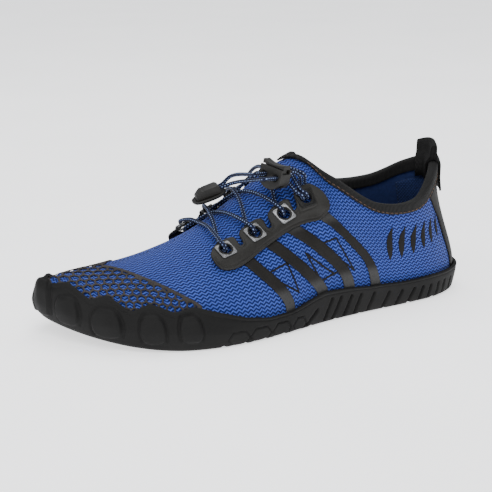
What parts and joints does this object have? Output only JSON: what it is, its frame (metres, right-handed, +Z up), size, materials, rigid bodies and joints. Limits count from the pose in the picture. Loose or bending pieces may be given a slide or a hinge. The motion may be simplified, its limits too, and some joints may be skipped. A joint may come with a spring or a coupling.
{
  "type": "water shoe",
  "caption": "Low-cut left water shoe with a knit upper, toe-bump rubber cup sole, lifted lacing tabs, bungee lace, spring cord lock and end clip.",
  "frame": {"origin": "on the ground, on the sole's flat tread at the waist of the shoe, midway between toe and heel", "axes": "+X to the heel, -X to the toe, +Y to the medial (big toe) side, +Z up"},
  "size_m": [0.2838, 0.1055, 0.1007],
  "materials": {
    "sole_rubber": "matte moulded rubber, fine grain",
    "board": "non-woven lasting board",
    "insole_foam": "fabric faced foam footbed",
    "knit": "royal blue and navy zigzag knit",
    "lining": "smooth royal blue lining",
    "heel_lining": "dark navy brushed lining",
    "binding": "black ribbed binding tape",
    "webbing": "black webbing",
    "film": "matte welded film",
    "plate_tpu": "moulded dark grey flexible plastic",
    "frame_silver": "satin silver",
    "frame_black": "moulded black",
    "lace": "braided elastic cord, navy with light flecks",
    "clip_plastic": "moulded dark grey plastic",
    "lock_plastic": "moulded dark grey plastic",
    "spring_steel": "spring wire"
  },
  "bodies": {
    "shoe": {"outsole": "sole_rubber", "lasting_board": "board", "insole": "insole_foam", "upper_knit": "knit", "quarter_lining": "lining", "heel_lining_pad": "heel_lining", "collar_binding": "binding", "heel_patch": "binding", "pull_tab": "webbing", "toe_film": "film", "stripe_lat_1": "film", "stripe_lat_2": "film", "stripe_lat_3": "film", "stripe_lat_4": "film", "stripe_med_1": "film", "stripe_med_2": "film", "stripe_med_3": "film", "stripe_med_4": "film", "lace_plate_lat": "plate_tpu", "lace_plate_med": "plate_tpu", "eyelet_frame_lat_1": "frame_silver", "eyelet_frame_lat_2": "frame_silver", "eyelet_frame_lat_3": "frame_silver", "eyelet_frame_lat_4": "frame_black", "eyelet_frame_med_1": "frame_silver", "eyelet_frame_med_2": "frame_silver", "eyelet_frame_med_3": "frame_silver", "eyelet_frame_med_4": "frame_black", "lace_run_a": "lace", "lace_run_b": "lace", "lace_tail_a": "lace", "lace_tail_b": "lace", "end_clip_base": "clip_plastic", "end_clip_cover": "clip_plastic"},
    "lock": {"cord_lock_body": "lock_plastic", "cord_lock_spring": "spring_steel"},
    "lock_button": {"cord_lock_button": "lock_plastic"}
  },
  "joints": [
    {"name": "lock_slide", "type": "slide", "parent": "shoe", "child": "lock", "axis": [-0.9429, -0.318, 0.099], "range_m": [0, 0.004]},
    {"name": "button_press", "type": "slide", "parent": "lock", "child": "lock_button", "axis": [-0.1451, 0.1249, -0.9815], "range_m": [0, 0.0026], "stiffness_N_per_m": 400, "springref_m": -0.001, "deforming": ["cord_lock_spring"]}
  ]
}
